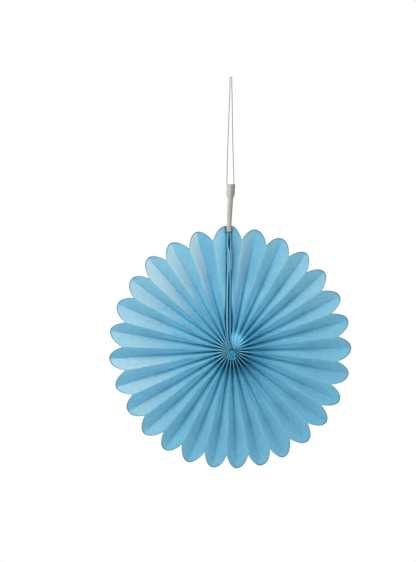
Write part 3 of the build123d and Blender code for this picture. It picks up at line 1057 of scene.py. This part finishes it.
# Heights above the hub of the tab's rings, close together at the blade's end, the head and the top
TAB_RINGS = [0.1075, 0.11, 0.113, 0.116, 0.119, 0.1206, 0.1212, 0.1216, 0.122, 0.1225, 0.1232]
TAB_RINGS += [0.1242, 0.1252, 0.1263, 0.1274, 0.1285]
TAB_RINGS += [0.1285 + 0.0012 * step for step in range(1, 23)]
TAB_RINGS += [0.1556, 0.1566, 0.1576, 0.1586, 0.1594, 0.1598, 0.1603, 0.161]
TAB_RINGS += [0.161 + 0.0011 * step for step in range(1, 8)]
TAB_RINGS += [0.1693, 0.1698, 0.17015, 0.1702, 0.1702, 0.1701, 0.1698]
TAB_TOP = (0.15, 0.4, 0.72, 0.93)  # size of the last rings, from the middle of the top outwards
TAB_COLUMNS = 64
TAB_SQUARENESS = 0.55  # power of the ring's sine and cosine: 1 is an ellipse, 0 a rectangle
TAB_LAYER = 0.00022  # thickness of one layer of tape
TAB_FORWARD = 0.003  # the tab's middle lies this far in front of the fan's
BLADE_TOP = 0.1206  # where the blade ends and the stem begins
STEM_LEFT = 0.0085  # the stem's middle line would pass this far to the left of the hub


class ROSETTE_OT_tab(bpy.types.Operator):
    """Fold the tape to a stem with a thicker head"""

    bl_idname = "rosette.tab"
    bl_label = "Hanging Tab"

    def execute(self, context):
        tape = self.tape(context.scene.fan_colours)
        tab = round_piece("folded_tab", len(TAB_RINGS), TAB_COLUMNS, self.place, tape)
        carry(tab, "tape", "hanging_tab")
        return {"FINISHED"}

    def place(self, row, column):
        height = TAB_RINGS[row]
        half_width, half_depth = self.section(height)
        last = len(TAB_RINGS) - 1 - row
        pull = TAB_TOP[last] if last < len(TAB_TOP) else 1.0
        angle = math.tau * column / TAB_COLUMNS
        across = self.squared(math.cos(angle)) * half_width * pull
        depth = self.squared(math.sin(angle)) * half_depth * pull
        # The tape's free end laps over the right of the stem's front, and its layers show at the sides
        lap = soft_step(across / half_width, 0.28, 0.34) * soft_fall(height, 0.158, 0.16)
        if depth < 0:
            depth -= TAB_LAYER * lap * soft_step(height, 0.125, 0.13)
        across -= math.copysign(math.exp(-((depth / 0.00035) ** 2)) * TAB_LAYER, across)
        wrinkle = noise.fractal(Vector((across * 260, depth * 200, height * 120)), 1.0, 2.0, 3)
        depth += wrinkle * 0.00014 * (1 if depth > 0 else -1)
        across += wrinkle * 0.00010
        # The blade lies deep in the gap, and the stem's foot in front of it is drawn forward
        hidden = soft_fall(height, BLADE_TOP, 0.1216)
        before_seam = (1 - hidden) * soft_fall(height, 0.1274, 0.134)
        depth = depth * (1 - 0.6 * hidden - 0.3 * before_seam) + 0.0018 * hidden - 0.0029 * before_seam
        lean = max(0.0, height - TAB_FOOT) * TAB_LEAN
        return seam_place(lean + seam_bend(height) + across, height, depth - TAB_FORWARD)

    def squared(self, wave):
        return math.copysign(abs(wave) ** TAB_SQUARENESS, wave)

    def section(self, height):
        """Half width and half depth of the tab at a height above the hub"""
        throat = soft_step(height, BLADE_TOP, 0.122)
        widening = soft_step(height, 0.1276, 0.155)
        shoulder = soft_step(height, 0.155, 0.1598)
        half_width = between(TAB_BLADE[0], TAB_THROAT[0], throat)
        half_width += (TAB_STEM[0] - TAB_THROAT[0]) * widening + (TAB_HEAD[0] - TAB_STEM[0]) * shoulder
        half_depth = between(TAB_BLADE[1], TAB_STEM[1], throat)
        half_depth += (TAB_HEAD[1] - TAB_STEM[1]) * shoulder
        return half_width, half_depth

    def tape(self, colours):
        """Warm grey tape, with painted shade on its right side, and stained at both ends"""
        material, tree, shader = base_material("folded tape", 0.7)
        place = output(tree.nodes.new("ShaderNodeTexCoord"), "Object")
        dyed, height = pulp(tree, place, colours.tape, TAPE_GRAIN)
        parts = add_node(tree, "ShaderNodeSeparateXYZ", {0: place})
        right, up = output(parts, 0), output(parts, 2)
        from_middle = right - HUB.x - ((up - HUB.z) * (TAB_LEAN - SEAM_LEAN) - STEM_LEFT)
        lines = ripple(vector(tree, from_middle * 900.0, 0.0, up * 40.0), 1.0, 2.0)
        # Painted shade on the tab's right side, with a streaky border
        right_side_shade = smooth(from_middle + lines * 0.0022, -0.0022, 0.0026) * 0.9
        foot = fade(up, HUB.z + 0.1255, HUB.z + 0.1285) * 0.5
        head = smooth(up, HUB.z + 0.1695, HUB.z + 0.1702) * 0.6
        layers = (
            (right_side_shade, colours.tape_shade, "MIX"),
            (calculate("MAXIMUM", foot, head), colours.tape_stain, "MIX"),
            # Painted shade on the tab's lower end in the gap
            (fade(up, HUB.z + BLADE_TOP, HUB.z + 0.1222), colours.tape_gap_shade, "MIX"),
        )
        feed(tree, shader.inputs["Base Color"], paint_over(tree, dyed, layers))
        bump(tree, shader, height, 0.0002)
        return material


STEPS_PER_LAY = 11  # rings of the mesh to each full turn of the strands
COLUMNS_PER_STRAND = 5
STRAND_HOLLOW = 0.74  # radius between two strands, as a share of the thread's


class ROSETTE_OT_thread(bpy.types.Operator):
    """Hang the twisted thread loop on its route"""

    bl_idname = "rosette.thread"
    bl_label = "Thread Loop"

    def execute(self, context):
        sizes = context.scene.thread_sizes
        route = self.route_points()
        step = sizes.lay / STEPS_PER_LAY
        points = self.even_points(route, step)
        columns = COLUMNS_PER_STRAND * sizes.strands
        sides = self.sides(points)
        half = sizes.diameter / 2

        def place(row, column):
            side, up = sides[row]
            angle = math.tau * column / columns
            twist = math.tau * row * step / sizes.lay
            lobe = 0.5 + 0.5 * math.cos(sizes.strands * (angle - twist))
            radius = half * between(STRAND_HOLLOW, 1.0, lobe)
            return points[row] + (side * math.cos(angle) + up * math.sin(angle)) * radius

        mesh = grid_mesh("thread_loop", len(points), columns, place, close_round=True)
        thread = new_object("thread_loop", mesh)
        self.add_flat_map(mesh, columns, step)
        close_ends(mesh, columns)
        smooth_faces(mesh)
        mesh.materials.append(self.cotton(context.scene.fan_colours, sizes))
        carry(thread, "thread", "hanging_string")
        total = sum((after - before).length for before, after in zip(points, points[1:]))
        return {"FINISHED"}

    def route_points(self):
        """Points along the route's own smooth line"""
        curve = bpy.data.curves.new("thread_route", "CURVE")
        curve.dimensions = "3D"
        curve.resolution_u = 48
        spline = curve.splines.new("NURBS")
        spline.points.add(len(THREAD_ROUTE) - 1)
        for point, place in zip(spline.points, THREAD_ROUTE):
            point.co = (*place, 1.0)
        spline.order_u = 3
        spline.use_endpoint_u = True
        route = new_object("thread_route", curve)
        bpy.context.view_layer.update()
        graph = bpy.context.evaluated_depsgraph_get()
        mesh = bpy.data.meshes.new_from_object(route.evaluated_get(graph))
        points = [vertex.co.copy() for vertex in mesh.vertices]
        bpy.data.objects.remove(route)
        bpy.data.meshes.remove(mesh)
        return points

    def even_points(self, route, step):
        """The same line with points a fixed step apart"""
        lengths = [0.0]
        for before, after in zip(route, route[1:]):
            lengths.append(lengths[-1] + (after - before).length)
        count = int(lengths[-1] / step)
        points = []
        place = 0
        for number in range(count + 1):
            wanted = lengths[-1] * number / count
            while place < len(route) - 2 and lengths[place + 1] < wanted:
                place += 1
            share = (wanted - lengths[place]) / (lengths[place + 1] - lengths[place])
            points.append(route[place].lerp(route[place + 1], share))
        return points

    def sides(self, points):
        """Two directions across the line at each point, carried along without twist"""
        sides = []
        side = Vector((0, 1, 0))
        for number in range(len(points)):
            last = len(points) - 1
            ahead = (points[min(number + 1, last)] - points[max(number - 1, 0)]).normalized()
            side = (side - ahead * side.dot(ahead)).normalized()
            sides.append((side, ahead.cross(side)))
        return sides

    def add_flat_map(self, mesh, columns, step):
        """UV map in metres: x round the thread, y along it"""
        layer = mesh.uv_layers.new(name="thread_uv")
        for face in mesh.polygons:
            low = min(mesh.loops[loop].vertex_index // columns for loop in face.loop_indices)
            first = mesh.loops[face.loop_start].vertex_index % columns
            for loop, corner in zip(face.loop_indices, ((0, 0), (1, 0), (1, 1), (0, 1))):
                layer.data[loop].uv = ((first + corner[0]) / columns, (low + corner[1]) * step)

    def cotton(self, colours, sizes):
        """Matte cotton with fine fibres that run with the strands"""
        material, tree, shader = base_material("cotton thread", 0.85, 0.15)
        flat = output(add_node(tree, "ShaderNodeUVMap", uv_map="thread_uv"))
        parts = add_node(tree, "ShaderNodeSeparateXYZ", {0: flat})
        turn = output(parts, 0) - output(parts, 1) / sizes.lay
        angle = turn * math.tau
        place = vector(tree, calculate("COSINE", angle), calculate("SINE", angle), output(parts, 1) * 60.0)
        fibres = ripple(place, 6.0, 3.0, 0.65)
        shade = fibres * 0.5 + 1.0
        tinted = add_node(tree, "ShaderNodeHueSaturation", {"Value": shade, "Color": opaque(colours.thread)})
        feed(tree, shader.inputs["Base Color"], output(tinted))
        bump(tree, shader, fibres, 0.0001)
        shader.inputs["Sheen Weight"].default_value = 0.15
        return material


# Soft lamp at the upper left, in metres from the hanging point
LAMP_PLACE = Vector((-0.35, -0.5, 0.2))
LAMP_AIM = Vector((0, 0, -0.27))
LAMP_SIZE = 0.4


class ROSETTE_OT_stage(bpy.types.Operator):
    """Set the pale floor, the white surroundings, the lamp and the camera"""

    bl_idname = "rosette.stage"
    bl_label = "Stage"

    def execute(self, context):
        stage = context.scene.stage_settings
        self.make_world(context.scene, stage)
        self.make_floor(stage)
        self.make_key(stage)
        self.make_camera(context.scene, stage)
        context.scene.view_settings.view_transform = "Standard"
        return {"FINISHED"}

    def seen_rays(self, tree):
        """1 for rays that show the surroundings, 0 for rays that only light the fan"""
        path = tree.nodes.new("ShaderNodeLightPath")
        seen = calculate("MAXIMUM", output(path, "Is Camera Ray"), output(path, "Is Glossy Ray"))
        return calculate("MAXIMUM", seen, output(path, "Is Transmission Ray"))

    def make_world(self, scene, stage):
        world = bpy.data.worlds.new("white surroundings")
        world.use_nodes = True
        tree = world.node_tree
        background = tree.nodes["Background"]
        background.inputs["Color"].default_value = (1, 1, 1, 1)
        strength = between(stage.ambient, 1.0, self.seen_rays(tree))
        feed(tree, background.inputs["Strength"], strength)
        scene.world = world

    def make_floor(self, stage):
        """Pale disc that looks white and keeps the fan's shadow"""
        mesh = bpy.data.meshes.new("floor")
        work = bmesh.new()
        bmesh.ops.create_circle(work, cap_ends=True, segments=96, radius=stage.floor_radius)
        bmesh.ops.translate(work, verts=work.verts, vec=(0, 0, stage.floor_height))
        work.to_mesh(mesh)
        work.free()
        floor = new_object("floor", mesh)
        material, tree, shader = base_material("pale floor", 0.9, 0.1)
        shader.inputs["Base Color"].default_value = (0.86, 0.86, 0.86, 1)
        shader.inputs["Emission Color"].default_value = (1, 1, 1, 1)
        feed(tree, shader.inputs["Emission Strength"], self.seen_rays(tree) * 0.3)
        mesh.materials.append(material)

    def make_key(self, stage):
        lamp = bpy.data.lights.new("key lamp", "AREA")
        lamp.shape = "DISK"
        lamp.size = LAMP_SIZE
        lamp.energy = stage.key_power
        key = new_object("key lamp", lamp)
        key.visible_camera = False
        key.location = LAMP_PLACE
        key.rotation_euler = (LAMP_AIM - LAMP_PLACE).to_track_quat("-Z", "Y").to_euler()

    def make_camera(self, scene, stage):
        """Level camera that looks straight back; its sensor spans the picture's height"""
        lens = bpy.data.cameras.new("camera")
        lens.sensor_width = 36.0
        lens.lens = lens.sensor_width * stage.camera_distance / stage.frame_height
        lens.clip_end = 50.0
        camera = new_object("camera", lens)
        camera.location = (stage.aim_right, -stage.camera_distance, stage.aim_up)
        camera.rotation_euler = (math.radians(90), 0, 0)
        scene.camera = camera


class ROSETTE_PT_sidebar(bpy.types.Panel):
    bl_label = "Paper Fan Rosette"
    bl_idname = "ROSETTE_PT_sidebar"
    bl_space_type = "VIEW_3D"
    bl_region_type = "UI"
    bl_category = "Rosette"

    def draw(self, context):
        for operator in OPERATORS:
            self.layout.operator(operator.bl_idname)
        for group in SETTINGS:
            box = self.layout.box()
            settings = getattr(context.scene, group)
            for name in settings.__annotations__:
                box.prop(settings, name)


OPERATORS = (
    ROSETTE_OT_pleated_sheet,
    ROSETTE_OT_end_cards,
    ROSETTE_OT_hub,
    ROSETTE_OT_tab,
    ROSETTE_OT_thread,
    ROSETTE_OT_stage,
)
SETTINGS = {
    "fan_sizes": FanSizes,
    "fan_colours": FanColours,
    "thread_sizes": ThreadSizes,
    "stage_settings": StageSettings,
}


def register():
    for group in (*SETTINGS.values(), *OPERATORS, ROSETTE_PT_sidebar):
        bpy.utils.register_class(group)
    for name, group in SETTINGS.items():
        setattr(bpy.types.Scene, name, PointerProperty(type=group))


def unregister():
    for name in SETTINGS:
        delattr(bpy.types.Scene, name)
    for group in reversed((*SETTINGS.values(), *OPERATORS, ROSETTE_PT_sidebar)):
        bpy.utils.unregister_class(group)


def main():
    register()
    bpy.ops.rosette.pleated_sheet()
    bpy.ops.rosette.end_cards()
    bpy.ops.rosette.hub()
    bpy.ops.rosette.tab()
    bpy.ops.rosette.thread()
    bpy.ops.rosette.stage()


if __name__ == "__main__":
    main()
